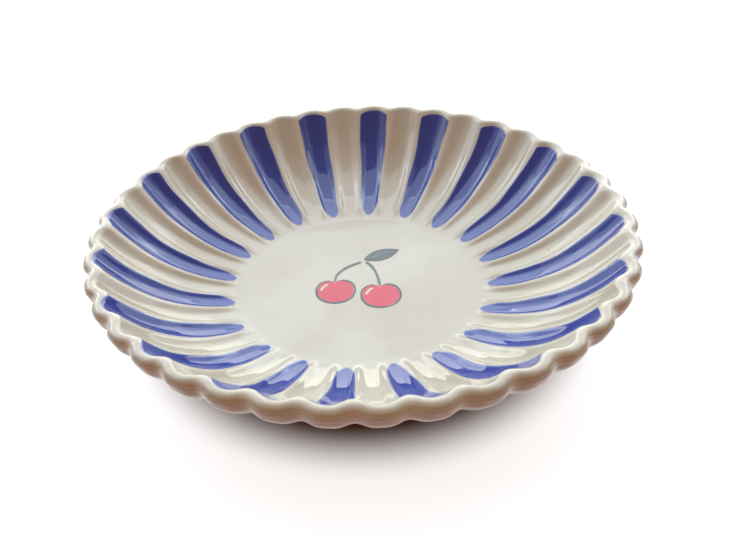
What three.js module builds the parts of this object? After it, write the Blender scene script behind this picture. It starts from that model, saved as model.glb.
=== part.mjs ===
// A fluted soup plate in glazed stoneware: a flat well, a wall of flutes that rises to a scalloped
// lip, colour fired into every second flute, and a pair of cherries painted on the floor.
// Millimetres, +Z up. The origin is on the table, under the middle of the plate.
import * as THREE from "three";

// Clay body
const RIM_DIAMETER = 230; // across the outermost crowns of the lip
const PLATE_HEIGHT = 44.4; // from the table to the top of the lip
const WELL_DIAMETER = 108; // the flat floor, with the foot ring under its edge
const WALL = 5.6; // clay thickness, and the diameter of the rounded lip
const LIP_SLOPE = 57; // degrees above level at which the wall meets the lip
const FLOOR_SLOPE = 5; // degrees above level at which the wall leaves the floor
const FLOOR_CARRY = 29; // how far the slope by the floor carries into the wall
const LIP_CARRY = 20; // how far the slope of the lip carries down the wall
const FOOT_HEIGHT = 3.6; // from the table to the underside of the floor
const FOOT_WIDTH = 4.6; // the flat ring that stands on the table
const FOOT_TAPER = 1; // how far each side of the foot slopes in towards the table

// Flutes
const FLUTE_COUNT = 40;
const FLUTE_DEPTH = 2.9; // from the trough of a flute to the ridge beside it, at the lip
const FLUTE_START = 1; // the same depth where the flutes begin, by the floor
const FLUTE_RUN_IN = 9; // from the edge of the floor to where the ridges stand up
const RIDGE_AT_LIP = 1.15; // 1 is a plain wave, and more makes narrower ridges
const RIDGE_AT_FLOOR = 3.6;
const GROOVE_OUTSIDE = 2.4; // the same for the grooves that the ridges leave on the outside

// Fired colour
const COLOUR_THICKNESS = 0.4;
const COLOUR_CLEARANCE = 0.3; // between a colour and the curved clay or the colour beside it
const STRIPE_MARGIN = 0.8; // bare clay from the stripe to the top of the ridge
const STRIPE_START = 2.6; // from the edge of the floor, along the wall
const STRIPE_END = 0.4; // below the start of the rounded lip, along the wall
const STRIPE_TIP = 9; // length of the rounded tip by the floor
const STRIPE_CORNER = 2.6; // length of the rounded corners by the lip

// Painted cherries, before they are turned on the floor
const MOTIF_X = -1;
const MOTIF_Y = 0;
const MOTIF_TURN = -10; // degrees
const CHERRY_WIDTH = 18.5;
const CHERRY_HEIGHT = 17.5;
const CHERRY_DENT = 1.6; // depth of the dimple that holds the stem
const CHERRY_SHOULDER = 3.2; // from the dimple out to the handle that rounds the shoulder
const CHERRY_CROWN = 1.7; // from the top of the cherry up to that handle
const CHERRY_GAP = 1.4; // bare floor between the two cherries
const CHERRY_DROP = 5; // how much lower the right cherry hangs
const LINE_WIDTH = 1.1; // painted outlines
const STEM_RISE = 24; // from the middle of the cherries to the fork of the stems
const STEM_WIDTH = 1.5;
const STEM_SWAY = 4; // how far the fork stands to the right of the middle
const LEAF_LENGTH = 19;
const LEAF_WIDTH = 9;
const LEAF_TURN = 22; // degrees above level
const GLINT_LENGTH = 6; // pale stroke of light on each cherry
const GLINT_WIDTH = 1.6;

// Facets
const COLUMNS_PER_FLUTE = 6;
const WALL_STEPS = 7;
const OUTSIDE_STEPS = 5;
const LIP_DIRECTIONS = [90, 45, 0]; // degrees above level, over the top to the outermost point
const FOOT_COLUMNS = 80;
const STRIPE_STEPS = 9;
const STRIPE_COLUMNS = 4;
const OUTLINE_STEPS = 7;

const CLAY = new THREE.MeshStandardMaterial({ color: "#f1ece1", roughness: 0.15, metalness: 0 });
const BLUE = new THREE.MeshStandardMaterial({ color: "#4c5fba", roughness: 0.15, metalness: 0 });
const RED = new THREE.MeshStandardMaterial({ color: "#e4475c", roughness: 0.2, metalness: 0 });
const SLATE = new THREE.MeshStandardMaterial({ color: "#474c56", roughness: 0.2, metalness: 0 });
const GREEN = new THREE.MeshStandardMaterial({ color: "#4f6f66", roughness: 0.2, metalness: 0 });
const CREAM = new THREE.MeshStandardMaterial({ color: "#fbf4e6", roughness: 0.2, metalness: 0 });

const FULL_TURN = 2 * Math.PI;
const RIM_RADIUS = RIM_DIAMETER / 2;
const WELL_RADIUS = WELL_DIAMETER / 2;
const FLOOR_HEIGHT = FOOT_HEIGHT + WALL;
const LIP_ANGLE = THREE.MathUtils.degToRad(LIP_SLOPE);
const FLOOR_ANGLE = THREE.MathUtils.degToRad(FLOOR_SLOPE);
const STRIPE_COUNT = Math.floor(FLUTE_COUNT / 2);

// The line of a trough on the inside of the wall, in radius and height. It leaves the floor at one
// slope and meets the lip at another; the lip is a half round over the end of the wall.
function troughLine() {
  const lipCentre = new THREE.Vector2(RIM_RADIUS - WALL / 2, PLATE_HEIGHT - WALL / 2);
  const inwards = new THREE.Vector2(-Math.sin(LIP_ANGLE), Math.cos(LIP_ANGLE));
  const along = new THREE.Vector2(Math.cos(LIP_ANGLE), Math.sin(LIP_ANGLE));
  const floorEdge = new THREE.Vector2(WELL_RADIUS, FLOOR_HEIGHT);
  const away = new THREE.Vector2(Math.cos(FLOOR_ANGLE), Math.sin(FLOOR_ANGLE));
  const floorHandle = floorEdge.clone().addScaledVector(away, FLOOR_CARRY);
  const wallTop = lipCentre.clone().addScaledVector(inwards, WALL / 2);
  const lipHandle = wallTop.clone().addScaledVector(along, -LIP_CARRY);
  return new THREE.CubicBezierCurve(floorEdge, floorHandle, lipHandle, wallTop);
}

const wallLine = troughLine();

// 0 in the trough of a flute and 1 on the ridge, which is narrower by the floor than by the lip.
// Across the clay, from 0 on its inside to 1 on its outside, ridges turn into narrow grooves.
function ridge(angle, climbed, across) {
  const wave = (1 - Math.cos(angle * FLUTE_COUNT)) / 2;
  const inside = THREE.MathUtils.lerp(RIDGE_AT_FLOOR, RIDGE_AT_LIP, climbed);
  return wave ** THREE.MathUtils.lerp(inside, GROOVE_OUTSIDE, across);
}

// A point of the wall in radius and height, at t from the floor to the lip, raised off the inner
// face. Ridges stand straight up from the floor and lean further in as the wall steepens, until
// they step level into the lip, which keeps the top of the plate level.
function wallSection(t, angle, raise, across = 0) {
  const trough = wallLine.getPoint(t);
  const tangent = wallLine.getTangent(t);
  const slope = Math.atan2(tangent.y, tangent.x);
  const lean = THREE.MathUtils.mapLinear(slope, FLOOR_ANGLE, LIP_ANGLE, 0, Math.PI / 2);
  const out = trough.x - WELL_RADIUS;
  const climbed = out / (wallLine.v3.x - WELL_RADIUS);
  const depth = THREE.MathUtils.lerp(FLUTE_START, FLUTE_DEPTH, climbed);
  const runIn = THREE.MathUtils.smoothstep(out, 0, FLUTE_RUN_IN);
  const rise = depth * runIn * ridge(angle, climbed, across);
  return new THREE.Vector2(
    trough.x - raise * Math.sin(slope) - rise * Math.sin(lean),
    trough.y + raise * Math.cos(slope) + rise * Math.cos(lean),
  );
}

// A point of the rounded lip, in a direction from the middle of its half round
function lipSection(direction, angle) {
  const arm = new THREE.Vector2(Math.cos(direction), Math.sin(direction));
  const across = (LIP_ANGLE + Math.PI / 2 - direction) / Math.PI;
  return wallSection(1, angle, -WALL / 2, across).addScaledVector(arm, WALL / 2);
}

// Sets a point of the section at its angle round the plate
function around(section, angle) {
  return new THREE.Vector3(section.x * Math.cos(angle), section.x * Math.sin(angle), section.y);
}

function ring(columns, sectionAt) {
  return Array.from({ length: columns }, (_, column) => {
    const angle = (column / columns) * FULL_TURN;
    return around(sectionAt(angle), angle);
  });
}

function circle(columns, radius, height) {
  return ring(columns, () => new THREE.Vector2(radius, height));
}

// Triangles between two neighbouring rings, which may differ in their count of points
function stitch(first, second, triangles) {
  const firstSteps = first.length > 1 ? first.length : 0;
  const secondSteps = second.length > 1 ? second.length : 0;
  let i = 0;
  let j = 0;
  while (i < firstSteps || j < secondSteps) {
    const a = first[i % first.length];
    const b = second[j % second.length];
    const firstIsNext = (2 * i + 1) * secondSteps < (2 * j + 1) * firstSteps;
    if (j === secondSteps || (i < firstSteps && firstIsNext)) {
      i += 1;
      triangles.push(a, b, first[i % first.length]);
    } else {
      j += 1;
      triangles.push(a, b, second[j % second.length]);
    }
  }
}

// A closed skin over rings of points, which begins and ends with a ring of one point
function skin(rings) {
  const positions = [];
  const numbered = rings.map((points) =>
    points.map((point) => positions.push(point.x, point.y, point.z) / 3 - 1),
  );
  const triangles = [];
  for (let i = 1; i < numbered.length; i += 1) {
    stitch(numbered[i - 1], numbered[i], triangles);
  }
  const geometry = new THREE.BufferGeometry();
  geometry.setAttribute("position", new THREE.Float32BufferAttribute(positions, 3));
  geometry.setIndex(triangles);
  geometry.computeVertexNormals();
  return geometry;
}

// The clay, ring by ring: over the floor, up the flutes, round the lip, down to the foot
function plateBody() {
  const columns = FLUTE_COUNT * COLUMNS_PER_FLUTE;
  const rings = [[new THREE.Vector3(0, 0, FLOOR_HEIGHT)]];
  rings.push(circle(columns, WELL_RADIUS, FLOOR_HEIGHT));
  for (let step = 1; step <= WALL_STEPS; step += 1) {
    rings.push(ring(columns, (angle) => wallSection(step / WALL_STEPS, angle, 0)));
  }
  for (const direction of LIP_DIRECTIONS.map(THREE.MathUtils.degToRad)) {
    rings.push(ring(columns, (angle) => lipSection(direction, angle)));
  }
  for (let step = OUTSIDE_STEPS; step >= 1; step -= 1) {
    rings.push(ring(columns, (angle) => wallSection(step / OUTSIDE_STEPS, angle, -WALL, 1)));
  }
  const footOuter = WELL_RADIUS - FOOT_TAPER;
  const footInner = footOuter - FOOT_WIDTH;
  rings.push(circle(FOOT_COLUMNS, WELL_RADIUS, FOOT_HEIGHT));
  rings.push(circle(FOOT_COLUMNS, footOuter, 0));
  rings.push(circle(FOOT_COLUMNS, footInner, 0));
  rings.push(circle(FOOT_COLUMNS, footInner - FOOT_TAPER, FOOT_HEIGHT));
  rings.push([new THREE.Vector3(0, 0, FOOT_HEIGHT)]);
  return skin(rings);
}

// A point on the facets of the inner wall, between the four corners of the facet it lies on
function facetPoint(t, angle) {
  const columnAngle = FULL_TURN / (FLUTE_COUNT * COLUMNS_PER_FLUTE);
  const row = Math.min(Math.floor(t * WALL_STEPS), WALL_STEPS - 1);
  const column = Math.floor(angle / columnAngle);
  const acrossRow = t * WALL_STEPS - row;
  const acrossColumn = angle / columnAngle - column;
  const corner = (up, round) => {
    const cornerAngle = (column + round) * columnAngle;
    return around(wallSection((row + up) / WALL_STEPS, cornerAngle, 0), cornerAngle);
  };
  const low = corner(0, 0).lerp(corner(0, 1), acrossColumn);
  const high = corner(1, 0).lerp(corner(1, 1), acrossColumn);
  return low.lerp(high, acrossRow);
}

// The direction out of the smooth inner wall
function wallNormal(t, angle) {
  const nudge = 1e-3;
  const at = (s, a) => around(wallSection(s, a, 0), a);
  const alongWall = at(t + nudge, angle).sub(at(t - nudge, angle));
  const roundPlate = at(t, angle + nudge).sub(at(t, angle - nudge));
  return alongWall.cross(roundPlate).normalize();
}

// Half the width of a stripe, as an angle round the plate, at a distance from each of its ends
function stripeHalfAngle(t, fromTip, fromTop) {
  const radius = wallLine.getPoint(t).x;
  const full = Math.PI / FLUTE_COUNT - STRIPE_MARGIN / radius;
  const round = (distance, length) => Math.sqrt(1 - (1 - Math.min(distance / length, 1)) ** 2);
  return full * round(fromTip, STRIPE_TIP) * round(fromTop, STRIPE_CORNER);
}

// A thin layer of colour that lines one flute, from a tip by the floor to the rounded top
function fluteStripe(angle) {
  const length = wallLine.getLength() - STRIPE_START - STRIPE_END;
  const layerPoint = (t, turn, height) =>
    facetPoint(t, angle + turn).addScaledVector(wallNormal(t, angle + turn), height);
  const under = COLOUR_CLEARANCE;
  const over = COLOUR_CLEARANCE + COLOUR_THICKNESS;
  const rings = [];
  for (let step = 0; step <= STRIPE_STEPS; step += 1) {
    const fromTip = (length * (1 - Math.cos((step / STRIPE_STEPS) * Math.PI))) / 2;
    const t = wallLine.getUtoTmapping(0, STRIPE_START + fromTip);
    if (step === 0 || step === STRIPE_STEPS) {
      rings.push([layerPoint(t, 0, (under + over) / 2)]);
      continue;
    }
    const halfAngle = stripeHalfAngle(t, fromTip, length - fromTip);
    const turns = Array.from({ length: STRIPE_COLUMNS + 1 }, (_, column) =>
      halfAngle * ((2 * column) / STRIPE_COLUMNS - 1),
    );
    const face = turns.map((turn) => layerPoint(t, turn, over));
    const back = turns.map((turn) => layerPoint(t, turn, under)).reverse();
    rings.push([...face, ...back]);
  }
  return skin(rings);
}

// A flat layer of colour cut to an outline
function flatLayer(outline) {
  return new THREE.ExtrudeGeometry(outline, {
    depth: COLOUR_THICKNESS,
    bevelEnabled: false,
    curveSegments: OUTLINE_STEPS,
  });
}

// A cherry's edge round the origin, drawn in by an inset, from the dimple on top and back to it
function cherryEdge(inset) {
  const half = CHERRY_WIDTH / 2 - inset;
  const top = CHERRY_HEIGHT / 2 - inset;
  const dent = top - CHERRY_DENT;
  const edge = new THREE.Shape();
  edge.moveTo(0, dent);
  edge.bezierCurveTo(CHERRY_SHOULDER, top + CHERRY_CROWN, half, top * 0.9, half, top * 0.1);
  edge.bezierCurveTo(half, -top * 0.6, half * 0.55, -top, 0, -top);
  edge.bezierCurveTo(-half * 0.55, -top, -half, -top * 0.6, -half, top * 0.1);
  edge.bezierCurveTo(-half, top * 0.9, -CHERRY_SHOULDER, top + CHERRY_CROWN, 0, dent);
  return edge;
}

// A brush stroke along part of a curve, from one width to another
function stroke(curve, startWidth, endWidth, steps, from = 0, to = 1) {
  const left = [];
  const right = [];
  for (let step = 0; step <= steps; step += 1) {
    const share = step / steps;
    const t = THREE.MathUtils.lerp(from, to, share);
    const half = THREE.MathUtils.lerp(startWidth, endWidth, share) / 2;
    const tangent = curve.getTangent(t);
    const across = new THREE.Vector2(-tangent.y, tangent.x);
    left.push(curve.getPoint(t).addScaledVector(across, half));
    right.push(curve.getPoint(t).addScaledVector(across, -half));
  }
  return new THREE.Shape([...right, ...left.reverse()]);
}

// The painted line round a cherry, which stays open where the stem comes in
function cherryLine() {
  const opening = 0.04;
  const middle = cherryEdge(LINE_WIDTH / 2);
  return stroke(middle, LINE_WIDTH, LINE_WIDTH, 4 * OUTLINE_STEPS, opening, 1 - opening);
}

// A stem from the dimple of a cherry to its tip at the fork, clear of the sides of the dimple
function stemStroke(cherry, tip) {
  const dimpleSlope = (CHERRY_DENT + CHERRY_CROWN) / CHERRY_SHOULDER;
  const lift = COLOUR_CLEARANCE + (dimpleSlope * STEM_WIDTH) / 2;
  const foot = new THREE.Vector2(cherry.x, cherry.y + CHERRY_HEIGHT / 2 - CHERRY_DENT + lift);
  const bend = new THREE.Vector2(foot.x, (foot.y + 2 * tip.y) / 3);
  const middle = new THREE.QuadraticBezierCurve(foot, bend, tip);
  return stroke(middle, STEM_WIDTH, STEM_WIDTH, 2 * OUTLINE_STEPS);
}

// A leaf from its stalk at the origin along +X
function leafEdge() {
  const edge = new THREE.Shape();
  edge.quadraticCurveTo(LEAF_LENGTH * 0.45, -LEAF_WIDTH, LEAF_LENGTH, 0);
  edge.quadraticCurveTo(LEAF_LENGTH * 0.45, LEAF_WIDTH, 0, 0);
  return edge;
}

function leafVein() {
  const start = new THREE.Vector2(LEAF_LENGTH * 0.15, 0);
  const bend = new THREE.Vector2(LEAF_LENGTH * 0.5, LEAF_WIDTH * 0.1);
  const end = new THREE.Vector2(LEAF_LENGTH * 0.85, 0);
  const middle = new THREE.QuadraticBezierCurve(start, bend, end);
  return stroke(middle, LINE_WIDTH, LINE_WIDTH / 2, OUTLINE_STEPS);
}

// A pale stroke of light that follows the upper left of a cherry
function cherryGlint() {
  const reach = CHERRY_WIDTH / 2 - 2.4 * LINE_WIDTH;
  const middle = THREE.MathUtils.degToRad(145);
  const halfTurn = GLINT_LENGTH / 2 / reach;
  const arc = new THREE.EllipseCurve(0, 0, reach, reach, middle - halfTurn, middle + halfTurn);
  return stroke(arc, GLINT_WIDTH, GLINT_WIDTH / 2, OUTLINE_STEPS);
}

function mesh(name, geometry, material) {
  const part = new THREE.Mesh(geometry, material);
  part.name = name;
  return part;
}

// The motif on the floor. The first coat lies on the clay, and the second coat lies on the first.
function paintedMotif() {
  const motif = new THREE.Group();
  motif.position.set(MOTIF_X, MOTIF_Y, FLOOR_HEIGHT);
  motif.rotation.z = THREE.MathUtils.degToRad(MOTIF_TURN);
  const spacing = (CHERRY_WIDTH + CHERRY_GAP) / 2;
  const fork = new THREE.Vector2(STEM_SWAY, STEM_RISE - CHERRY_HEIGHT / 2);
  const sides = [
    { name: "left", x: -spacing, y: CHERRY_DROP / 2 - CHERRY_HEIGHT / 2 },
    { name: "right", x: spacing, y: -CHERRY_DROP / 2 - CHERRY_HEIGHT / 2 },
  ];
  for (const { name, x, y } of sides) {
    const cherry = new THREE.Group();
    cherry.position.set(x, y, 0);
    cherry.add(mesh(`cherry_${name}`, flatLayer(cherryEdge(0)), RED));
    const secondCoat = new THREE.Group();
    secondCoat.position.z = COLOUR_THICKNESS;
    secondCoat.add(mesh(`cherry_${name}_outline`, flatLayer(cherryLine()), SLATE));
    secondCoat.add(mesh(`cherry_${name}_glint`, flatLayer(cherryGlint()), CREAM));
    cherry.add(secondCoat);
    motif.add(cherry);
    const apart = (Math.sign(x) * (STEM_WIDTH + COLOUR_CLEARANCE)) / 2;
    const tip = new THREE.Vector2(fork.x + apart, fork.y);
    motif.add(mesh(`stem_${name}`, flatLayer(stemStroke(cherry.position, tip)), GREEN));
  }
  const leaf = new THREE.Group();
  leaf.position.set(fork.x, fork.y + STEM_WIDTH, 0);
  leaf.rotation.z = THREE.MathUtils.degToRad(LEAF_TURN);
  leaf.add(mesh("leaf", flatLayer(leafEdge()), SLATE));
  const vein = mesh("leaf_vein", flatLayer(leafVein()), GREEN);
  vein.position.z = COLOUR_THICKNESS;
  leaf.add(vein);
  motif.add(leaf);
  return motif;
}

const plate = new THREE.Group();
plate.add(mesh("plate_body", plateBody(), CLAY));
for (let stripe = 0; stripe < STRIPE_COUNT; stripe += 1) {
  const angle = (stripe * 2 * FULL_TURN) / FLUTE_COUNT;
  const number = String(stripe + 1).padStart(2, "0");
  plate.add(mesh(`blue_stripe_${number}`, fluteStripe(angle), BLUE));
}
plate.add(paintedMotif());

export default plate;
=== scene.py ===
"""A fluted soup plate in glazed stoneware, with blue stripes and a painted pair of cherries.

The script builds the plate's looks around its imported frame, in metres and in the frame's own axes:
+Z points up out of the bowl, and the origin is on the table, at the middle of the foot ring.
"""
import bisect
import math
from collections import namedtuple

import bmesh
import bpy
from bpy.props import FloatProperty, FloatVectorProperty, IntProperty, PointerProperty
from bpy.types import Operator, Panel, PropertyGroup
from mathutils import Matrix, Vector


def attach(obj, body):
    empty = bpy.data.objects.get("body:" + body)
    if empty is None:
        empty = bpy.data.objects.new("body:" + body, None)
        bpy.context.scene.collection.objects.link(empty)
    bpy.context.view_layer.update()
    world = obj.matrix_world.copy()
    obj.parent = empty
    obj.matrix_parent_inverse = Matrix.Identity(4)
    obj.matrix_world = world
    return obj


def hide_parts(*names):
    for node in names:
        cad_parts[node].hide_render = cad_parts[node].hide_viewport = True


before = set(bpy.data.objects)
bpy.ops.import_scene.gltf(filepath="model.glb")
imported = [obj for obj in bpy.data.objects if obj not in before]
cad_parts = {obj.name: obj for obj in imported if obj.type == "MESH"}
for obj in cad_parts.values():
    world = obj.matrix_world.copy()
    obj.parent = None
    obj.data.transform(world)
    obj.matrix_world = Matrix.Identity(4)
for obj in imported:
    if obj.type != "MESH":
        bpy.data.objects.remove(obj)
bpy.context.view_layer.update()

bl_info = {
    "name": "Fluted soup plate",
    "version": (1, 0, 0),
    "blender": (4, 5, 0),
    "location": "View3D > Sidebar > Soup plate",
    "description": "Builds a glazed soup plate with striped flutes around its packed frame",
    "category": "Object",
}

MM = 0.001
MERGE = 1e-7
SIDES = ((-1, "left"), (1, "right"))

# Facets of the pieces
COLUMNS_PER_FLUTE = 16
FLOOR_RINGS = 9
WALL_ROWS = 52
LIP_ROWS = 14
OUTSIDE_ROWS = 40
CORNER_STEPS = 5
STRIPE_COLUMNS = 24
STRIPE_ROWS = 72
LENGTH_STEPS = 240
PAINT_SPOKES = 120
PAINT_RINGS = 8
STROKE_STEPS = 60
STROKE_COLUMNS = 6

# The clay: the soft edge of its floor, and what brings the peak of x (1 - x)^2 to 1
EDGE_ROUND = 1.2 * MM
SWELL_PEAK = 27 / 4

# How the hand strays from stripe to stripe, in two waves
SLOW_STRAY = 2.4
SLOW_SHARE = 0.6
QUICK_STRAY = 5.1
QUICK_START = 1.0

# How it strays along a stripe's two sides
SWAY_LENGTH = 5 * MM
SWAY_START = 1.7

# Shares of a stripe's coat that stand at its edges and that are solid, and its place in the brush's streaks
STRIPE_EDGE = 0.35
STRIPE_SOLID = 0.4
STRIPE_APART_MM = 70.0

# A cherry's outline, as shares of its half width and half height
CHEEK_HEIGHT = 0.1
CHEEK_FULL = 0.9
BELLY_FULL = 0.6
POINT_FULL = 0.55

# Where the motif's strokes lie, as shares of what they follow
LINE_GAP = 0.04
GLINT_OUT = 0.714
GLINT_BEARING = math.radians(145)
FORK_SPREAD = 0.6
LEAF_BELLY = 0.45
VEIN_START = 0.1
VEIN_LENGTH = 0.74

# The motif's coats and strokes: solid share, round ends, wobble, and length in the brush's streaks
MOTIF_SOLID = 0.8
FIRST_END = 0.06
LAST_END = 0.08
WOBBLE_WAVES = 11.0
WOBBLE_START = 0.7
STROKE_MM = 30.0
TURN_STEP = 0.002
THINNEST = 0.002 * MM

# Widths at a stroke's ends, as shares of its full width, and how far it wobbles
Stroke = namedtuple("Stroke", "first last wobble")
STROKES = {
    "line": Stroke(1.0, 1.0, 0.12),
    "glint": Stroke(0.9, 0.8, 0.05),
    "stem": Stroke(0.85, 1.15, 0.06),
    "vein": Stroke(1.1, 0.6, 0.05),
}

# The glaze: scales in features a metre, heights of its relief, and ranges of what drives it
GLAZE_IOR = 1.5
GLAZE_ROUGH = (0.025, 0.05)
CLAY_ROUGH = 0.85
UNEVEN_SCALE = 60.0
UNEVEN_RANGE = (0.3, 0.7)
WAVE_SCALE = 42.0
WAVE_HEIGHT = 0.09 * MM
SKIN_SCALE = 420.0
SKIN_HEIGHT = 0.006 * MM
SKIN_STRENGTH = 0.5
PINHOLE_SCALE = 95.0
PINHOLE_RANGE = (0.02, 0.05)
PINHOLE_HEIGHT = 0.05 * MM
PINHOLE_STRENGTH = 0.6
POOL_SCALE = 24.0
POOL_RANGE = (0.35, 0.65)
CREST_RANGE = (0.55, 1.0)
SPECK_SCALE = 70.0
SPECK_RANGE = (0.05, 0.02)
SPECK_STRENGTH = 0.55
PATCH_SCALE = 31.0
PATCH_RANGE = (0.58, 0.66)
CLAY_SCALE = 900.0
BARE_SCALE = 130.0
BARE_WAVER = 0.3 * MM
BARE_RANGE = (1.1 * MM, 0.7 * MM)

# Fired colour: its ragged edge, its thin edge and the brush's hairs
RAGGED_SCALE = 120.0
RAGGED_MM = 0.25
EDGE_THIN = 0.2
EDGE_BARE = 0.3
HAIR_ROUGHNESS = 0.6
HAIR_RANGE = (0.3, 0.7)
HAIR_DEPTH = (-0.12, 0.06)

# Width of a colour's pale edge in millimetres, and its streaks' features a millimetre across and along
Paint = namedtuple("Paint", "edge_mm streaks")
PAINTS = {
    "blue_colour": Paint(1.2, (0.9, 0.045, 1.0)),
    "red_colour": Paint(2.4, (0.5, 0.12, 1.0)),
    "slate_line": Paint(0.3, (1.2, 0.1, 1.0)),
    "slate_colour": Paint(1.0, (0.25, 0.8, 1.0)),
    "cream_colour": Paint(0.3, (1.0, 0.2, 1.0)),
    "green_colour": Paint(0.35, (1.2, 0.12, 1.0)),
}

# The stage: a floor that is white to the camera and brown to the plate, with painted shade under the plate,
# in a dim room
FLOOR_HALF = 3.0
FLOOR_GLOW = 0.8
# Distances from the middle over which the floor's painted shade gives way to its pale colour and full glow
GLOW_RANGE = (78 * MM, 106 * MM)
FLOOR_BOUNCE = (0.4, 0.13, 0.025)
# Painted shade: the floor's colour under the plate
FLOOR_PAINTED_SHADE = (0.3, 0.16, 0.09)
FLOOR_SEEN = (0.62, 0.73, 0.86)
WHITE = (1.0, 1.0, 1.0)
ROOM_FRONT = (0.34, 0.155, 0.055)
ROOM_BEHIND = (0.5, 0.53, 0.55)
ROOM_LOW = (0.13, 0.05, 0.015)
ROOM_STRENGTH = 0.9
BEHIND_RANGE = (-0.5, 0.7)
HIGH_RANGE = (0.0, 0.6)

# Lamps, and panels that only reflect: degrees round and up from the plate, metres wide and high, radiance
# and tint. One that stands to the side has its like on the other side.
SOFTBOX_DISTANCE = 1.6
PANEL_DISTANCE = 1.5
WARM = (1.0, 0.95, 0.79)
COOL = (0.86, 0.99, 1.08)
Softbox = namedtuple("Softbox", "bearing elevation width height radiance tint")
SOFTBOXES = {
    "pane": Softbox(20.5, 15.5, 1.1, 0.83, 2.0, WARM),
    "ceiling": Softbox(0, 47, 3.2, 0.86, 1.2, COOL),
    "side": Softbox(75, 45, 1.4, 1.0, 0.75, COOL),
}
REFLECTIONS = {
    "glass": Softbox(20.5, 15.5, 1.03, 0.78, 1.9, COOL),
    "flank": Softbox(56, 22, 0.95, 0.9, 1.8, COOL),
    "skylight": Softbox(0, 45, 3.0, 0.89, 1.75, COOL),
    "rooflight": Softbox(0, 74, 3.0, 0.75, 1.6, COOL),
}

# Sockets of the Mix node that count when it mixes colours
MIX_FACTOR = 0
MIX_FIRST = 6
MIX_SECOND = 7
MIX_RESULT = 2

# The camera, from a fit of the plate's own outline to the photograph
IMAGE_PX = (733, 550)
FOCAL_PX = 749.15
AXIS_PX = (326.18, 294.78)
CAMERA_ELEVATION = math.radians(37.539)
CAMERA_ROLL = math.radians(-4.5885)
CAMERA_TURN = math.radians(-8.465)
CAMERA_PLACE = (-15.478 * MM, -272.732 * MM, 212.691 * MM)
SENSOR_WIDTH = 36.0
CLIP_START = 0.01


def linear(code):
    """The linear colour of a screen colour such as #f1ece1."""
    shares = [int(code[place:place + 2], 16) / 255 for place in (1, 3, 5)]
    return [v / 12.92 if v <= 0.04045 else ((v + 0.055) / 1.055) ** 2.4 for v in shares]


def length(name, description, millimetres):
    """A size of the plate, kept in metres."""
    return FloatProperty(name=name, description=description, default=millimetres * MM,
                         unit="LENGTH", precision=5)


def share(name, description, value):
    """A plain number without a unit."""
    return FloatProperty(name=name, description=description, default=value, subtype="FACTOR")


def turn(name, description, degrees):
    """An angle."""
    return FloatProperty(name=name, description=description, default=math.radians(degrees),
                         unit="ROTATION", subtype="ANGLE")


def count(name, description, value):
    """A whole number of like things."""
    return IntProperty(name=name, description=description, default=value, min=2)


def colour(name, description, code):
    """A colour, kept linear."""
    return FloatVectorProperty(name=name, description=description, default=linear(code),
                               subtype="COLOR", size=3, min=0.0, max=1.0)


class PlateSizes(PropertyGroup):
    """Sizes of the clay body."""

    rim_diameter: length("Rim diameter", "Width of the plate over its lip", 230)
    plate_height: length("Plate height", "From the table to the top of the lip", 44.4)
    well_diameter: length("Well diameter", "Width of the flat floor", 108)
    wall: length("Wall", "Thickness of the clay", 5.6)
    lip_slope: turn("Lip slope", "How steeply the wall ends at the lip", 57)
    floor_slope: turn("Floor slope", "How steeply the wall leaves the floor", 5)
    floor_carry: length("Floor carry", "How far that slope runs on into the wall", 29)
    lip_carry: length("Lip carry", "How far the lip's line runs back into the wall", 20)
    foot_height: length("Foot height", "How far the foot ring stands down", 3.6)
    foot_width: length("Foot width", "Width of the ring's flat face", 4.6)
    foot_taper: length("Foot taper", "How far each side of the ring slants", 1.0)
    foot_round: length("Foot round", "Round on the ring's edges", 1.2)
    flute_count: count("Flutes", "Flutes around the wall, an even number", 40)
    flute_depth: length("Flute depth", "From a flute's bottom to the ridge beside it, at the lip", 2.9)
    flute_start: length("Flute start", "From a flute's bottom to the ridge beside it, at the well", 1.0)
    flute_run_in: length("Flute run-in", "How far the ridges take to rise from the floor", 9)
    ridge_at_lip: share("Ridge at lip", "Above 1, ridges are narrower than flutes", 1.3)
    ridge_at_well: share("Ridge at well", "Above 1, ridges are narrower than flutes", 3.6)
    groove_outside: share("Groove outside", "Above 1, grooves between the bulges are narrower", 1.9)
    groove_fill: share("Groove fill", "How much shallower grooves are than flutes", 0.25)
    rim_swell: length("Rim swell", "How far the outside stands out under the lip", 1.2)
    rim_reach: length("Rim reach", "How far down from the lip it does so", 14)


class StripeSizes(PropertyGroup):
    """Sizes of the blue stripes."""

    margin: length("Margin", "Bare glaze between a stripe and the ridge", 0.5)
    start: length("Start", "From the well's edge to a stripe's tip", 2.6)
    over_lip: length("Over lip", "How far stripes run on over the lip's round", 0.7)
    drift: length("Drift", "How much further they run on the side that they lean to", 1.1)
    drift_way: turn("Drift way", "The side that the painted stripes lean to", 200)
    tip: length("Tip", "Length of the round tip", 9)
    corner: length("Corner", "Length of the round corners at the top", 2.0)
    coat: length("Coat", "How far the colour stands on the clay", 0.14)
    wander: length("Wander", "How far the hand-painted tips differ", 0.9)
    sway: length("Sway", "How far the hand-painted sides differ", 0.5)


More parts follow.
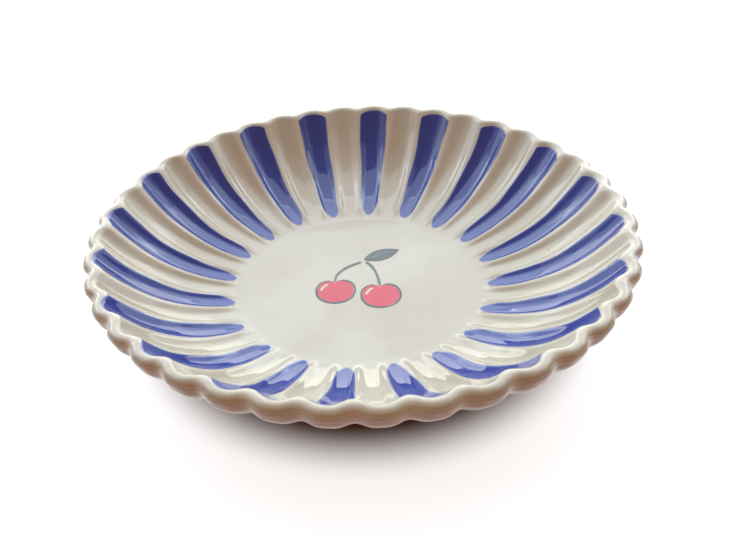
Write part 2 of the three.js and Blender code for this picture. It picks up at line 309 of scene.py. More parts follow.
class MotifSizes(PropertyGroup):
    """Sizes of the painted cherries."""

    place_x: length("Place X", "How far along X the motif sits from the floor's middle", -1)
    place_y: length("Place Y", "How far along Y the motif sits from the floor's middle", 0)
    turned: turn("Turn", "How the motif is turned on the floor", -10)
    cherry_width: length("Cherry width", "Width of one cherry", 18.5)
    cherry_height: length("Cherry height", "Height of one cherry", 17.5)
    cherry_dent: length("Cherry dent", "Depth of the dimple at the stem", 1.6)
    cherry_shoulder: length("Cherry shoulder", "Width of the dimple's shoulder", 3.2)
    cherry_crown: length("Cherry crown", "How far the shoulder rises", 1.7)
    cherry_gap: length("Cherry gap", "Bare glaze between the cherries", 1.4)
    cherry_drop: length("Cherry drop", "How much lower the right cherry hangs", 5)
    line_width: length("Line width", "Width of the brushed outlines", 1.1)
    stem_rise: length("Stem rise", "From the cherries' middle to the fork", 24)
    stem_width: length("Stem width", "Width of a stem", 1.5)
    stem_sway: length("Stem sway", "How far the fork stands to one side", 4)
    leaf_length: length("Leaf length", "Length of the leaf", 19)
    leaf_width: length("Leaf width", "Width of the leaf", 9)
    leaf_turn: turn("Leaf turn", "How the leaf stands from level", 22)
    glint_length: length("Glint length", "Length of the pale glints", 6)
    glint_width: length("Glint width", "Width of the pale glints", 1.6)
    coat: length("Coat", "Thickness of one coat of colour", 0.05)


class PlateColours(PropertyGroup):
    """Colours of the glaze and the paint."""

    glaze: colour("Glaze", "The glaze where it lies even", "#ecebdc")
    glaze_pool: colour("Pooled glaze", "The glaze where it lies thick", "#e1ddcb")
    # Lighter on ridges and lip: partly thin glaze, partly painted highlight
    thin_glaze_and_highlight: colour("Thin glaze", "The glaze on ridges and lip", "#f5f3e5")
    clay: colour("Bare clay", "The unglazed face of the foot ring", "#c9b08f")
    speck: colour("Speck", "Iron specks in the clay", "#a98a78")
    blue: colour("Blue", "The stripes where the colour lies thick", "#475bbb")
    blue_thin: colour("Thin blue", "The stripes along their edges", "#7a90da")
    red: colour("Red", "The cherries", "#f4284f")
    red_thin: colour("Thin red", "The cherries where the brush ran dry", "#f04a68")
    slate: colour("Slate", "Outlines and leaf", "#4b545d")
    slate_thin: colour("Thin slate", "Outlines and leaf where thin", "#707985")
    green: colour("Green", "Stems and leaf vein", "#4f6f66")
    green_thin: colour("Thin green", "Stems and leaf vein where thin", "#7d9890")
    cream: colour("Cream", "The glints on the cherries", "#fbf4e6")
    cream_thin: colour("Thin cream", "The glints where thin", "#f3cfc9")


def smooth(value):
    """Eases a share from 0 to 1."""
    held = min(max(value, 0.0), 1.0)
    return held * held * (3 - 2 * held)


def rounded(value):
    """The quarter round that a share from 0 to 1 climbs."""
    held = min(max(value, 0.0), 1.0)
    return math.sqrt(1 - (1 - held) ** 2)


def cubic(points, step):
    """A place on a cubic curve, and the curve's direction there."""
    a, b, c, d = points
    left = 1 - step
    place = a * left ** 3 + b * (3 * left * left * step) + c * (3 * left * step * step) + d * step ** 3
    way = (b - a) * (3 * left * left) + (c - b) * (6 * left * step) + (d - c) * (3 * step * step)
    return place, way


def quadratic(a, b, c, step):
    """A place on a quadratic curve."""
    left = 1 - step
    return a * (left * left) + b * (2 * left * step) + c * (step * step)


def floor_height(sizes):
    """Height of the plate's floor over the table."""
    return sizes.foot_height + sizes.wall


def wall_curve(sizes):
    """The four points of the wall's curve along a flute, as radius and height."""
    floor = floor_height(sizes)
    well = sizes.well_diameter / 2
    way = Vector((math.cos(sizes.lip_slope), math.sin(sizes.lip_slope)))
    lip = Vector((sizes.rim_diameter / 2 - sizes.wall / 2, sizes.plate_height - sizes.wall / 2))
    top = lip + Vector((-way.y, way.x)) * (sizes.wall / 2)
    edge = Vector((well, floor))
    away = Vector((math.cos(sizes.floor_slope), math.sin(sizes.floor_slope)))
    return edge, edge + away * sizes.floor_carry, top - way * sizes.lip_carry, top


def wall_section(sizes, curve, step, raised, across=0.0):
    """A place on the wall along a flute, how far a full ridge moves it, and how narrow ridges are there.

    Across the clay, from 0 on its inside to 1 on its outside, ridges turn into narrow grooves.
    """
    place, way = cubic(curve, step)
    slope = math.atan2(way.y, way.x)
    lean = (slope - sizes.floor_slope) / (sizes.lip_slope - sizes.floor_slope) * math.pi / 2
    out = place.x - curve[0].x
    climbed = out / (curve[3].x - curve[0].x)
    deep = sizes.flute_start + (sizes.flute_depth - sizes.flute_start) * climbed
    rise = deep * smooth(out / sizes.flute_run_in)
    inside = sizes.ridge_at_well + (sizes.ridge_at_lip - sizes.ridge_at_well) * climbed
    narrow = inside + (sizes.groove_outside - inside) * across
    base = place + Vector((-math.sin(slope), math.cos(slope))) * raised
    lift = Vector((-math.sin(lean), math.cos(lean))) * rise * (1 - sizes.groove_fill * across)
    return base, lift, narrow


def lip_section(sizes, curve, around, raised):
    """A place on the lip's round, an angle on from the wall's inside, with the ridges as on the wall."""
    middle, lift, narrow = wall_section(sizes, curve, 1.0, -sizes.wall / 2, around / math.pi)
    bearing = sizes.lip_slope + math.pi / 2 - around
    return middle + Vector((math.cos(bearing), math.sin(bearing))) * (sizes.wall / 2 + raised), lift, narrow


def outside_section(sizes, curve, step):
    """A place on the wall's outside, which stands nearly upright just under the lip."""
    base, lift, narrow = wall_section(sizes, curve, step, -sizes.wall, 1.0)
    lip = wall_section(sizes, curve, 1.0, -sizes.wall, 1.0)[0]
    below = min((lip.y - base.y) / sizes.rim_reach, 1.0)
    swell = sizes.rim_swell * SWELL_PEAK * below * (1 - below) ** 2
    return base + Vector((swell, 0.0)), lift, narrow


def ridge_share(sizes, angle, narrow):
    """0 along the bottom of a flute, 1 along a ridge."""
    wave = (1 - math.cos(sizes.flute_count * angle)) / 2
    return wave ** narrow


def round_off(before, corner, after, radius):
    """Points of the round that takes off a corner of a section."""
    start = corner + (before - corner).normalized() * radius
    end = corner + (after - corner).normalized() * radius
    return [quadratic(start, corner, end, step / CORNER_STEPS) for step in range(CORNER_STEPS + 1)]


def unwaved(radius, height):
    """A place of the section that no ridge moves."""
    return Vector((radius, height)), Vector((0.0, 0.0)), 1.0


def body_section(sizes):
    """The clay's section from the middle of the floor round to the middle of the underside."""
    curve = wall_curve(sizes)
    floor = floor_height(sizes)
    well = sizes.well_diameter / 2
    section = [unwaved(well * ring / FLOOR_RINGS, floor) for ring in range(FLOOR_RINGS)]
    section.append(unwaved(well - EDGE_ROUND, floor))
    section += [wall_section(sizes, curve, row / WALL_ROWS, 0.0) for row in range(WALL_ROWS)]
    section += [lip_section(sizes, curve, math.pi * row / LIP_ROWS, 0.0) for row in range(LIP_ROWS + 1)]
    section += [outside_section(sizes, curve, 1 - row / OUTSIDE_ROWS) for row in range(1, OUTSIDE_ROWS)]
    outer = well - sizes.foot_taper
    inner = outer - sizes.foot_width
    corners = [
        wall_section(sizes, curve, 1 / OUTSIDE_ROWS, -sizes.wall)[0],
        Vector((well, sizes.foot_height)),
        Vector((outer, 0.0)),
        Vector((inner, 0.0)),
        Vector((inner - sizes.foot_taper, sizes.foot_height)),
        Vector((0.0, sizes.foot_height)),
    ]
    for before, corner, after in zip(corners, corners[1:], corners[2:]):
        section += [unwaved(*place) for place in round_off(before, corner, after, sizes.foot_round)]
    under = inner - sizes.foot_taper - sizes.foot_round
    section += [
        unwaved(under * (FLOOR_RINGS - ring) / FLOOR_RINGS, sizes.foot_height)
        for ring in range(1, FLOOR_RINGS + 1)
    ]
    return section


def wall_lengths(sizes):
    """How far along the wall each step of its curve lies."""
    curve = wall_curve(sizes)
    lengths = [0.0]
    last = curve[0]
    for step in range(1, LENGTH_STEPS + 1):
        place = cubic(curve, step / LENGTH_STEPS)[0]
        lengths.append(lengths[-1] + (place - last).length)
        last = place
    return lengths


def step_at(lengths, along):
    """The curve's step at a length along the wall."""
    found = min(max(bisect.bisect_right(lengths, along), 1), LENGTH_STEPS)
    low, high = lengths[found - 1], lengths[found]
    return (found - 1 + (along - low) / (high - low)) / LENGTH_STEPS


def finish_piece(name, bm, material, slot, *nodes):
    """Makes a piece of a mesh, which rides on the plate and stands for CAD nodes."""
    mesh = bpy.data.meshes.new(name)
    bm.to_mesh(mesh)
    bm.free()
    mesh.shade_smooth()
    mesh.materials.append(material)
    piece = bpy.data.objects.new(name, mesh)
    bpy.context.scene.collection.objects.link(piece)
    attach(piece, "root")
    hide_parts(*nodes)


def add(tree, kind, settings=None, inputs=None):
    """A new node, with its settings and the values of its inputs."""
    node = tree.nodes.new(kind)
    for name, value in (settings or {}).items():
        setattr(node, name, value)
    for name, value in (inputs or {}).items():
        if isinstance(value, bpy.types.NodeSocket):
            tree.links.new(value, node.inputs[name])
        else:
            node.inputs[name].default_value = value
    return node


def opaque(value):
    """A colour with full alpha, or the socket that gives one."""
    return value if isinstance(value, bpy.types.NodeSocket) else (*value, 1.0)


def mixed(tree, factor, first, second):
    """A blend of two colours by a factor."""
    inputs = {MIX_FACTOR: factor, MIX_FIRST: opaque(first), MIX_SECOND: opaque(second)}
    return add(tree, "ShaderNodeMix", {"data_type": "RGBA"}, inputs).outputs[MIX_RESULT]


def ranged(tree, value, low, high, to_low=0.0, to_high=1.0, eased=True):
    """A value brought from one range to another."""
    kind = "SMOOTHSTEP" if eased else "LINEAR"
    node = add(tree, "ShaderNodeMapRange", {"interpolation_type": kind},
               {"Value": value, "From Min": low, "From Max": high, "To Min": to_low, "To Max": to_high})
    return node.outputs["Result"]


def sums(tree, operation, first, second):
    """Two values joined by arithmetic."""
    return add(tree, "ShaderNodeMath", {"operation": operation}, {0: first, 1: second}).outputs[0]


def noise(tree, place, scale, detail=2.0, roughness=0.5):
    """Cloudy noise at a scale in features a metre."""
    return add(tree, "ShaderNodeTexNoise", None,
               {"Vector": place, "Scale": scale, "Detail": detail, "Roughness": roughness}).outputs["Fac"]


def spots(tree, place, scale, low, high):
    """Small round spots, one in each cell, from 0 to 1 between two distances from a spot's middle."""
    cells = add(tree, "ShaderNodeTexVoronoi", None, {"Vector": place, "Scale": scale})
    return ranged(tree, cells.outputs["Distance"], low, high)


def bump(tree, height, distance, strength=1.0, under=None):
    """The normal of a relief, laid over the normal of a coarser one."""
    inputs = {"Height": height, "Distance": distance, "Strength": strength}
    if under is not None:
        inputs["Normal"] = under
    return add(tree, "ShaderNodeBump", None, inputs).outputs["Normal"]


def attribute(tree, name):
    """A value that the mesh carries."""
    return add(tree, "ShaderNodeAttribute", {"attribute_name": name}).outputs["Fac"]


def object_place(tree):
    """Places in the plate's own frame."""
    return add(tree, "ShaderNodeTexCoord").outputs["Object"]


def glaze_surface(tree, place):
    """The normal of a fired glaze: slow waves, a fine skin and a few pinholes."""
    waves = bump(tree, noise(tree, place, WAVE_SCALE, detail=1.0), WAVE_HEIGHT)
    skin = bump(tree, noise(tree, place, SKIN_SCALE, detail=1.5), SKIN_HEIGHT, SKIN_STRENGTH, waves)
    pits = spots(tree, place, PINHOLE_SCALE, *PINHOLE_RANGE)
    return bump(tree, pits, PINHOLE_HEIGHT, PINHOLE_STRENGTH, skin)


def new_material(name):
    """An empty material, its tree and its shader."""
    material = bpy.data.materials.new(name)
    material.use_nodes = True
    return material, material.node_tree, material.node_tree.nodes["Principled BSDF"]


def gloss(tree, shader, place, bare=0.0):
    """The finish of a clear fired glaze, which is dull where the clay is bare."""
    shader.inputs["IOR"].default_value = GLAZE_IOR
    uneven = ranged(tree, noise(tree, place, UNEVEN_SCALE, detail=3.0), *UNEVEN_RANGE, *GLAZE_ROUGH)
    rough = sums(tree, "MAXIMUM", uneven, sums(tree, "MULTIPLY", bare, CLAY_ROUGH))
    tree.links.new(rough, shader.inputs["Roughness"])
    tree.links.new(glaze_surface(tree, place), shader.inputs["Normal"])


def glazed_clay(colours):
    """Cream glaze over stoneware, with the foot ring's face left bare."""
    material, tree, shader = new_material("cream_glaze")
    place = object_place(tree)
    pooled = ranged(tree, noise(tree, place, POOL_SCALE, detail=3.0), *POOL_RANGE)
    even = mixed(tree, pooled, colours.glaze, colours.glaze_pool)
    # Painted highlight: ridge tops and the lip turn lighter, partly as thin glaze, partly standing in for
    # their highlights
    crest = ranged(tree, attribute(tree, "crest"), *CREST_RANGE)
    thin_and_highlit = mixed(tree, crest, even, colours.thin_glaze_and_highlight)
    dots = spots(tree, place, SPECK_SCALE, *SPECK_RANGE)
    patches = ranged(tree, noise(tree, place, PATCH_SCALE, detail=0.0), *PATCH_RANGE)
    faint = sums(tree, "MULTIPLY", patches, SPECK_STRENGTH)
    specked = mixed(tree, sums(tree, "MULTIPLY", dots, faint), thin_and_highlit, colours.speck)
    height = add(tree, "ShaderNodeSeparateXYZ", None, {"Vector": place}).outputs["Z"]
    waver = ranged(tree, noise(tree, place, BARE_SCALE), 0.0, 1.0, -BARE_WAVER, BARE_WAVER)
    bare = ranged(tree, sums(tree, "ADD", height, waver), *BARE_RANGE)
    grain = mixed(tree, noise(tree, place, CLAY_SCALE, detail=3.0), colours.clay, colours.speck)
    tree.links.new(mixed(tree, bare, specked, grain), shader.inputs["Base Color"])
    gloss(tree, shader, place, bare)
    return material


def fired_colour(name, thick, thin, ground):
    """Brushed colour under the glaze: paler along its edges, with the brush's streaks."""
    edge_mm, streaks = PAINTS[name]
    material, tree, shader = new_material(name)
    place = object_place(tree)
    brush = add(tree, "ShaderNodeUVMap", {"uv_map": "brush"}).outputs["UV"]
    stretched = add(tree, "ShaderNodeMapping", None, {"Vector": brush, "Scale": streaks}).outputs["Vector"]
    hairs = noise(tree, stretched, 1.0, 3.0, HAIR_ROUGHNESS)
    cloud = noise(tree, place, RAGGED_SCALE, detail=3.0)
    strayed = ranged(tree, cloud, 0.0, 1.0, -RAGGED_MM, RAGGED_MM, eased=False)
    ragged = sums(tree, "ADD", attribute(tree, "edge"), strayed)
    laid = sums(tree, "ADD", ranged(tree, ragged, EDGE_THIN * edge_mm, edge_mm),
                ranged(tree, hairs, *HAIR_RANGE, *HAIR_DEPTH, eased=False))
    paint = mixed(tree, ranged(tree, laid, 0.0, 1.0, eased=False), thin, thick)
    covered = ranged(tree, ragged, 0.0, EDGE_BARE * edge_mm)
    tree.links.new(mixed(tree, covered, ground, paint), shader.inputs["Base Color"])
    gloss(tree, shader, place)
    return material


def body_mesh(sizes):
    """The clay: its section spun round, then waved into flutes."""
    bm = bmesh.new()
    ridge_in = bm.verts.layers.float.new("ridge_in")
    ridge_up = bm.verts.layers.float.new("ridge_up")
    ridge_narrow = bm.verts.layers.float.new("ridge_narrow")
    crest = bm.verts.layers.float.new("crest")
    last = None
    for place, lift, narrow in body_section(sizes):
        vert = bm.verts.new((place.x, 0.0, place.y))
        vert[ridge_in] = lift.x
        vert[ridge_up] = lift.y
        vert[ridge_narrow] = narrow
        if last:
            bm.edges.new((last, vert))
        last = vert
    bmesh.ops.spin(bm, geom=bm.verts[:] + bm.edges[:], cent=(0, 0, 0), axis=(0, 0, 1), angle=2 * math.pi,
                   steps=sizes.flute_count * COLUMNS_PER_FLUTE, use_merge=True)
    bmesh.ops.remove_doubles(bm, verts=bm.verts[:], dist=MERGE)
    for vert in bm.verts:
        angle = math.atan2(vert.co.y, vert.co.x)
        ridge = ridge_share(sizes, angle, vert[ridge_narrow])
        # How far the ridge stands out here, which makes the glaze lighter: thin glaze and painted highlight
        vert[crest] = ridge * math.hypot(vert[ridge_in], vert[ridge_up]) / sizes.flute_depth
        vert.co.x += math.cos(angle) * vert[ridge_in] * ridge
        vert.co.y += math.sin(angle) * vert[ridge_in] * ridge
        vert.co.z += vert[ridge_up] * ridge
    for name in ("ridge_in", "ridge_up", "ridge_narrow"):
        bm.verts.layers.float.remove(bm.verts.layers.float[name])
    bmesh.ops.recalc_face_normals(bm, faces=bm.faces[:])
    return bm


def painted_sheet(columns, rows, shape, thickness):
    """A thin closed coat of colour: a grid laid by shape(across, along), then given thickness.

    shape returns the place, the distance from the coat's edge in millimetres and the brush's place.
    """
    bm = bmesh.new()
    edge = bm.verts.layers.float.new("edge")
    brush = bm.loops.layers.uv.new("brush")
    bmesh.ops.create_grid(bm, x_segments=columns, y_segments=rows, size=1.0)
    strokes = {}
    for vert in bm.verts:
        place, inside, stroke = shape(vert.co.x, (vert.co.y + 1) / 2)
        strokes[vert.index] = stroke
        vert.co = place
        vert[edge] = inside
    for face in bm.faces:
        for loop in face.loops:
            loop[brush].uv = strokes[loop.vert.index]
    bmesh.ops.remove_doubles(bm, verts=bm.verts[:], dist=MERGE)
    bmesh.ops.recalc_face_normals(bm, faces=bm.faces[:])
    if sum(face.normal.z for face in bm.faces) < 0:
        bmesh.ops.reverse_faces(bm, faces=bm.faces[:])
    bm.normal_update()
    under = [(vert, vert.normal * thickness) for vert in bm.verts]
    bmesh.ops.extrude_face_region(bm, geom=bm.faces[:], use_keep_orig=True)
    for vert, depth in under:
        vert.co -= depth
    return bm


def by_hand(number):
    """How far the hand strays on one stripe, from -1 to 1."""
    slow = math.sin(number * SLOW_STRAY)
    quick = math.sin(number * QUICK_STRAY + QUICK_START)
    return slow * SLOW_SHARE + quick * (1 - SLOW_SHARE)


def stripe_mesh(sizes, stripes, lengths, number):
    """One blue stripe in its flute."""
    curve = wall_curve(sizes)
    pitch = 2 * math.pi / sizes.flute_count
    middle = 2 * pitch * number
    start = stripes.start + stripes.wander * by_hand(number)
    end = lengths[-1] + stripes.over_lip + stripes.drift * math.cos(middle - stripes.drift_way)

    def on_wall(reached, raised):
        past = reached - lengths[-1]
        if past > 0:
            return lip_section(sizes, curve, past / (sizes.wall / 2), raised)
        return wall_section(sizes, curve, step_at(lengths, reached), raised)

    def shape(across, along):
        eased = (1 - math.cos(math.pi * along)) / 2
        reached = start + (end - start) * eased
        radius = on_wall(reached, 0.0)[0].x
        tip = reached - start
        top = end - reached
        side = 1 if across > 0 else 2
        drawn = (1 + math.sin(reached / SWAY_LENGTH + number * SWAY_START * side)) / 2
        bare = (stripes.margin + stripes.sway * drawn) / radius
        half = (pitch / 2 - bare) * rounded(tip / stripes.tip) * rounded(top / stripes.corner)
        angle = half * across
        inside = min((1 - abs(across)) * half * radius, tip, top) / MM
        raised = stripes.coat * (STRIPE_EDGE + (1 - STRIPE_EDGE) * smooth(inside))
        base, lift, narrow = on_wall(reached, raised)
        place = base + lift * ridge_share(sizes, angle, narrow)
        turned = middle + angle
        spot = Vector((place.x * math.cos(turned), place.x * math.sin(turned), place.y))
        return spot, inside, (angle * radius / MM, reached / MM + STRIPE_APART_MM * number)

    return painted_sheet(STRIPE_COLUMNS, STRIPE_ROWS, shape, stripes.coat * STRIPE_SOLID)


def motif_place(sizes, motif, spot, raised):
    """A place of the motif's own plane, on the plate's floor."""
    turned = Matrix.Rotation(motif.turned, 2) @ spot
    return Vector((motif.place_x + turned.x, motif.place_y + turned.y, floor_height(sizes) + raised))


def blob_mesh(sizes, motif, middle, outline, raised):
    """A filled shape of the motif, laid from its outline in to its middle."""

    def shape(across, along):
        edge = outline((across + 1) / 2)
        spot = middle + edge * (1 - along)
        inside = edge.length * along / MM
        return motif_place(sizes, motif, spot, raised), inside, (spot.x / MM, spot.y / MM)

    return painted_sheet(PAINT_SPOKES, PAINT_RINGS, shape, motif.coat * MOTIF_SOLID)


def stroke_mesh(sizes, motif, path, width, stroke):
    """A brush stroke along a path of the motif, laid over its first coat."""

    def shape(across, along):
        place = path(along)
        way = (path(min(along + TURN_STEP, 1.0)) - path(max(along - TURN_STEP, 0.0))).normalized()
        half = stroke_width(width, stroke, along) / 2
        spot = place + Vector((-way.y, way.x)) * (half * across)
        inside = (1 - abs(across)) * half / MM
        brush = (across * half / MM, along * STROKE_MM)
        return motif_place(sizes, motif, spot, motif.coat * 2), inside, brush

    return painted_sheet(STROKE_COLUMNS, STROKE_STEPS, shape, motif.coat * MOTIF_SOLID)


def stroke_width(width, stroke, step):
    """The width of a stroke that runs from its first width to its last between round ends."""
    ends = rounded(step / FIRST_END) * rounded((1 - step) / LAST_END)
    wobble = stroke.wobble * math.sin(step * WOBBLE_WAVES + WOBBLE_START)
    swell = stroke.first + (stroke.last - stroke.first) * step + wobble
    return max(width * swell * ends, THINNEST)


def cherry_edge(motif, step):
    """A place on a cherry's outline, from its dimple round to its dimple, about its middle."""
    half = motif.cherry_width / 2
    top = motif.cherry_height / 2
    side = step * 4
    mirrored = side > 2
    if mirrored:
        side = 4 - side
    dimple = Vector((0.0, top - motif.cherry_dent))
    shoulder = Vector((motif.cherry_shoulder, top + motif.cherry_crown))
    cheek = Vector((half, CHEEK_HEIGHT * top))
    if side <= 1:
        place = cubic((dimple, shoulder, Vector((half, CHEEK_FULL * top)), cheek), side)[0]
    else:
        low = Vector((half, -BELLY_FULL * top))
        place = cubic((cheek, low, Vector((POINT_FULL * half, -top)), Vector((0.0, -top))), side - 1)[0]
    return Vector((-place.x, place.y)) if mirrored else place


def cherry_middle(motif, side):
    """Where the left (-1) or right (1) cherry's middle lies in the motif."""
    across = side * (motif.cherry_width + motif.cherry_gap) / 2
    return Vector((across, -(motif.cherry_height + side * motif.cherry_drop) / 2))


def line_path(motif, middle):
    """The path of the line just inside a cherry's outline."""

    def path(step):
        edge = cherry_edge(motif, LINE_GAP + (1 - 2 * LINE_GAP) * step)
        return middle + edge * (1 - motif.line_width / 2 / edge.length)

    return path


def glint_path(motif, middle):
    """The path of a cherry's glint, an arc about the cherry's middle."""
    radius = motif.cherry_width / 2 * GLINT_OUT
    spread = motif.glint_length / radius

    def path(step):
        bearing = GLINT_BEARING + (step - 0.5) * spread
        return middle + Vector((math.cos(bearing), math.sin(bearing))) * radius

    return path


def stem_fork(motif):
    """Where the two stems meet, in the motif."""
    return Vector((motif.stem_sway, motif.stem_rise - motif.cherry_height / 2))


def stem_path(motif, side):
    """The path of a stem, from its cherry's dimple up to the fork."""
    foot = cherry_middle(motif, side) + cherry_edge(motif, 0.0)
    tip = stem_fork(motif) + Vector((side * FORK_SPREAD * motif.stem_width, 0.0))
    bend = Vector((foot.x, (foot.y + 2 * tip.y) / 3))
    return lambda step: quadratic(foot, bend, tip, step)


def leaf_place(motif, along, aside):
    """A place of the leaf from its heel, along its vein and aside from it."""
    return Matrix.Rotation(motif.leaf_turn, 2) @ Vector((along, aside))


def leaf_edge(motif, step):
    """A place on the leaf's outline, from its heel round to its heel, about its middle."""
    side = -1 if step < 0.5 else 1
    tip = leaf_place(motif, motif.leaf_length, 0.0)
    handle = leaf_place(motif, LEAF_BELLY * motif.leaf_length, side * motif.leaf_width)
    along = min(step * 2, 2 - step * 2)
    return quadratic(Vector((0.0, 0.0)), handle, tip, along) - tip * 0.5


class SOUPPLATE_OT_body(Operator):
    """Spins the clay body and gives it its glaze"""

    bl_idname = "soup_plate.body"
    bl_label = "Plate body"

    def execute(self, context):
        scene = context.scene
        material = glazed_clay(scene.plate_colours)
        finish_piece("plate_glazed", body_mesh(scene.plate_sizes), material, "cream_glaze", "plate_body")
        return {"FINISHED"}


class SOUPPLATE_OT_stripes(Operator):
    """Brushes a blue stripe into every second flute"""

    bl_idname = "soup_plate.stripes"
    bl_label = "Blue stripes"

    def execute(self, context):
        scene = context.scene
        colours = scene.plate_colours
        sizes = scene.plate_sizes
        lengths = wall_lengths(sizes)
        material = fired_colour("blue_colour", colours.blue, colours.blue_thin, colours.thin_glaze_and_highlight)
        for number in range(sizes.flute_count // 2):
            mesh = stripe_mesh(sizes, scene.stripe_sizes, lengths, number)
            label = "%02d" % (number + 1)
            finish_piece("stripe_" + label, mesh, material, "blue_colour", "blue_stripe_" + label)
        return {"FINISHED"}


class SOUPPLATE_OT_cherries(Operator):
    """Paints the two cherries, their outlines and their glints"""

    bl_idname = "soup_plate.cherries"
    bl_label = "Cherries"

    def execute(self, context):
        scene = context.scene
        colours = scene.plate_colours
        sizes = scene.plate_sizes
        motif = scene.motif_sizes
        red = fired_colour("red_colour", colours.red, colours.red_thin, colours.glaze)
        slate = fired_colour("slate_line", colours.slate, colours.slate_thin, colours.glaze)
        cream = fired_colour("cream_colour", colours.cream, colours.cream_thin, colours.red_thin)
        for side, label in SIDES:
            node = "cherry_" + label
            middle = cherry_middle(motif, side)
            blob = blob_mesh(sizes, motif, middle, lambda step: cherry_edge(motif, step), motif.coat)
            finish_piece(node + "_paint", blob, red, "red_colour", node)
            line = stroke_mesh(sizes, motif, line_path(motif, middle), motif.line_width, STROKES["line"])
            finish_piece(node + "_line", line, slate, "slate_colour", node + "_outline")
            glint = stroke_mesh(sizes, motif, glint_path(motif, middle), motif.glint_width, STROKES["glint"])
            finish_piece(node + "_shine", glint, cream, "cream_colour", node + "_glint")
        return {"FINISHED"}


class SOUPPLATE_OT_stems(Operator):
    """Paints the stems, the leaf and the leaf's vein"""

    bl_idname = "soup_plate.stems"
    bl_label = "Stems and leaf"

    def execute(self, context):
        scene = context.scene
        colours = scene.plate_colours
        sizes = scene.plate_sizes
        motif = scene.motif_sizes
        green = fired_colour("green_colour", colours.green, colours.green_thin, colours.glaze)
        slate = fired_colour("slate_colour", colours.slate, colours.slate_thin, colours.glaze)
        for side, label in SIDES:
            stem = stroke_mesh(sizes, motif, stem_path(motif, side), motif.stem_width, STROKES["stem"])
            finish_piece("stem_%s_paint" % label, stem, green, "green_colour", "stem_" + label)
        heel = stem_fork(motif) + Vector((0.0, motif.stem_width))
        tip = leaf_place(motif, motif.leaf_length, 0.0)
        leaf = blob_mesh(sizes, motif, heel + tip * 0.5, lambda step: leaf_edge(motif, step), motif.coat)
        finish_piece("leaf_paint", leaf, slate, "slate_colour", "leaf")

        def vein_path(step):
            return heel + tip * (VEIN_START + VEIN_LENGTH * step)

        vein = stroke_mesh(sizes, motif, vein_path, motif.line_width, STROKES["vein"])
        finish_piece("leaf_vein_paint", vein, green, "green_colour", "leaf_vein")
        return {"FINISHED"}


def floor_material():
    """White to the camera, with the plate's shadow and painted shade under the plate, and the brown of a
    table in the light it gives back.
    """
    material = bpy.data.materials.new("floor")
    material.use_nodes = True
    tree = material.node_tree
    tree.nodes.clear()
    path = add(tree, "ShaderNodeLightPath")
    seen = sums(tree, "MAXIMUM", path.outputs["Is Camera Ray"],
                sums(tree, "MAXIMUM", path.outputs["Is Glossy Ray"], path.outputs["Is Transmission Ray"]))
    warm = add(tree, "ShaderNodeBsdfDiffuse", None, {"Color": opaque(FLOOR_BOUNCE)})
    away = add(tree, "ShaderNodeVectorMath", {"operation": "LENGTH"}, {0: object_place(tree)})
    distance = away.outputs["Value"]
    # Painted shade: the floor's colour darkens to brown towards the plate
    shade = mixed(tree, ranged(tree, distance, *GLOW_RANGE), FLOOR_PAINTED_SHADE, FLOOR_SEEN)
    pale = add(tree, "ShaderNodeBsdfDiffuse", None, {"Color": shade})
    # Painted shade: the floor's glow fades away under the plate
    strength = ranged(tree, distance, *GLOW_RANGE, 0.0, FLOOR_GLOW)
    glow = add(tree, "ShaderNodeEmission", None, {"Color": opaque(WHITE), "Strength": strength})
    white = add(tree, "ShaderNodeAddShader", None, {0: pale.outputs[0], 1: glow.outputs[0]})
    both = add(tree, "ShaderNodeMixShader", None, {0: seen, 1: warm.outputs[0], 2: white.outputs[0]})
    add(tree, "ShaderNodeOutputMaterial", None, {"Surface": both.outputs[0]})
    return material


def stage_floor(scene):
    """A pale floor that the plate stands on."""
    bm = bmesh.new()
    bmesh.ops.create_grid(bm, x_segments=1, y_segments=1, size=FLOOR_HALF)
    mesh = bpy.data.meshes.new("floor")
    bm.to_mesh(mesh)
    bm.free()
    mesh.materials.append(floor_material())
    floor = bpy.data.objects.new("floor", mesh)
    scene.collection.objects.link(floor)


def stage_world(scene):
    """A room that is dim and warm in front, more so towards the floor, and lighter behind."""
    world = bpy.data.worlds.new("studio")
    world.use_nodes = True
    scene.world = world
    tree = world.node_tree
    around = add(tree, "ShaderNodeTexCoord").outputs["Generated"]
    way = add(tree, "ShaderNodeSeparateXYZ", None, {"Vector": around})
    behind = ranged(tree, way.outputs["Y"], *BEHIND_RANGE)
    high = ranged(tree, way.outputs["Z"], *HIGH_RANGE)
    shade = mixed(tree, high, ROOM_LOW, mixed(tree, behind, ROOM_FRONT, ROOM_BEHIND))
    background = tree.nodes["Background"]
    tree.links.new(shade, background.inputs["Color"])
    background.inputs["Strength"].default_value = ROOM_STRENGTH


def on_both_sides(softboxes):
    """Names and softboxes, with a left and a right one for each that stands to the side."""
    for name, softbox in softboxes.items():
        if softbox.bearing == 0:
            yield name, softbox
        else:
            for side, label in SIDES:
                yield "%s_%s" % (label, name), softbox._replace(bearing=-side * softbox.bearing)


def stage_light(scene, name, softbox, distance):
    """One soft lamp that faces the plate."""
    lamp = bpy.data.lights.new(name, "AREA")
    lamp.shape = "RECTANGLE"
    lamp.size = softbox.width
    lamp.size_y = softbox.height
    lamp.color = softbox.tint
    lamp.energy = softbox.radiance * math.pi * softbox.width * softbox.height
    holder = bpy.data.objects.new(name, lamp)
    scene.collection.objects.link(holder)
    elevation = math.radians(softbox.elevation)
    away = Vector((0.0, math.cos(elevation), math.sin(elevation)))
    away.rotate(Matrix.Rotation(CAMERA_TURN + math.radians(softbox.bearing), 3, "Z"))
    holder.location = away * distance
    holder.rotation_euler = away.to_track_quat("Z", "Y").to_euler()
    return holder


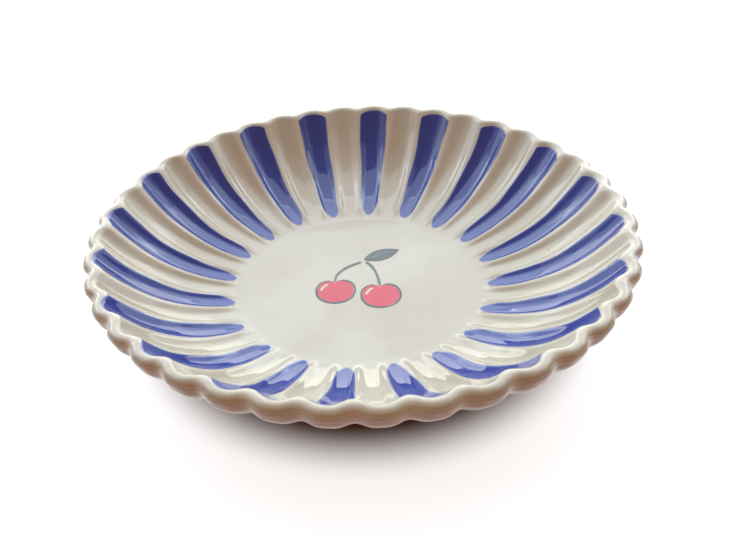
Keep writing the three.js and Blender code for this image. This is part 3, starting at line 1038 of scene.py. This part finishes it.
def stage_camera(scene):
    """The camera at the photograph's viewing angle."""
    level = Vector((1.0, 0.0, 0.0))
    ahead = Vector((0.0, math.cos(CAMERA_ELEVATION), -math.sin(CAMERA_ELEVATION)))
    above = level.cross(ahead)
    right = level * math.cos(CAMERA_ROLL) + above * math.sin(CAMERA_ROLL)
    up = above * math.cos(CAMERA_ROLL) - level * math.sin(CAMERA_ROLL)
    axes = Matrix((right, up, -ahead)).transposed().to_4x4()
    lens = bpy.data.cameras.new("camera")
    lens.sensor_width = SENSOR_WIDTH
    lens.lens = SENSOR_WIDTH * FOCAL_PX / IMAGE_PX[0]
    lens.shift_x = (IMAGE_PX[0] / 2 - AXIS_PX[0]) / IMAGE_PX[0]
    lens.shift_y = (AXIS_PX[1] - IMAGE_PX[1] / 2) / IMAGE_PX[0]
    lens.clip_start = CLIP_START
    camera = bpy.data.objects.new("camera", lens)
    scene.collection.objects.link(camera)
    camera.matrix_world = Matrix.Rotation(CAMERA_TURN, 4, "Z") @ Matrix.Translation(CAMERA_PLACE) @ axes
    scene.camera = camera


class SOUPPLATE_OT_stage(Operator):
    """Sets the floor, the light and the camera"""

    bl_idname = "soup_plate.stage"
    bl_label = "Stage"

    def execute(self, context):
        scene = context.scene
        scene.view_settings.view_transform = "Standard"
        stage_floor(scene)
        stage_world(scene)
        for name, softbox in on_both_sides(SOFTBOXES):
            stage_light(scene, name, softbox, SOFTBOX_DISTANCE)
        for name, panel in on_both_sides(REFLECTIONS):
            stage_light(scene, name, panel, PANEL_DISTANCE).visible_diffuse = False
        stage_camera(scene)
        return {"FINISHED"}


class SOUPPLATE_PT_panel(Panel):
    """The plate's pieces, sizes and colours"""

    bl_idname = "SOUPPLATE_PT_panel"
    bl_label = "Soup plate"
    bl_space_type = "VIEW_3D"
    bl_region_type = "UI"
    bl_category = "Soup plate"

    def draw(self, context):
        layout = self.layout
        for operator in OPERATORS:
            layout.operator(operator.bl_idname)
        for name, group in GROUPS.items():
            box = layout.box()
            for key in group.__annotations__:
                box.prop(getattr(context.scene, name), key)


GROUPS = {
    "plate_sizes": PlateSizes,
    "stripe_sizes": StripeSizes,
    "motif_sizes": MotifSizes,
    "plate_colours": PlateColours,
}
OPERATORS = (
    SOUPPLATE_OT_body,
    SOUPPLATE_OT_stripes,
    SOUPPLATE_OT_cherries,
    SOUPPLATE_OT_stems,
    SOUPPLATE_OT_stage,
)


def register():
    """Adds the classes and the scene's properties."""
    for group in GROUPS.values():
        bpy.utils.register_class(group)
    for name, group in GROUPS.items():
        setattr(bpy.types.Scene, name, PointerProperty(type=group))
    for operator in OPERATORS:
        bpy.utils.register_class(operator)
    bpy.utils.register_class(SOUPPLATE_PT_panel)


def unregister():
    """Takes the classes and the scene's properties away."""
    bpy.utils.unregister_class(SOUPPLATE_PT_panel)
    for operator in reversed(OPERATORS):
        bpy.utils.unregister_class(operator)
    for name in GROUPS:
        delattr(bpy.types.Scene, name)
    for group in reversed(GROUPS.values()):
        bpy.utils.unregister_class(group)


def main():
    """Builds the plate and its stage."""
    register()
    bpy.ops.soup_plate.body()
    bpy.ops.soup_plate.stripes()
    bpy.ops.soup_plate.cherries()
    bpy.ops.soup_plate.stems()
    bpy.ops.soup_plate.stage()


if __name__ == "__main__":
    main()
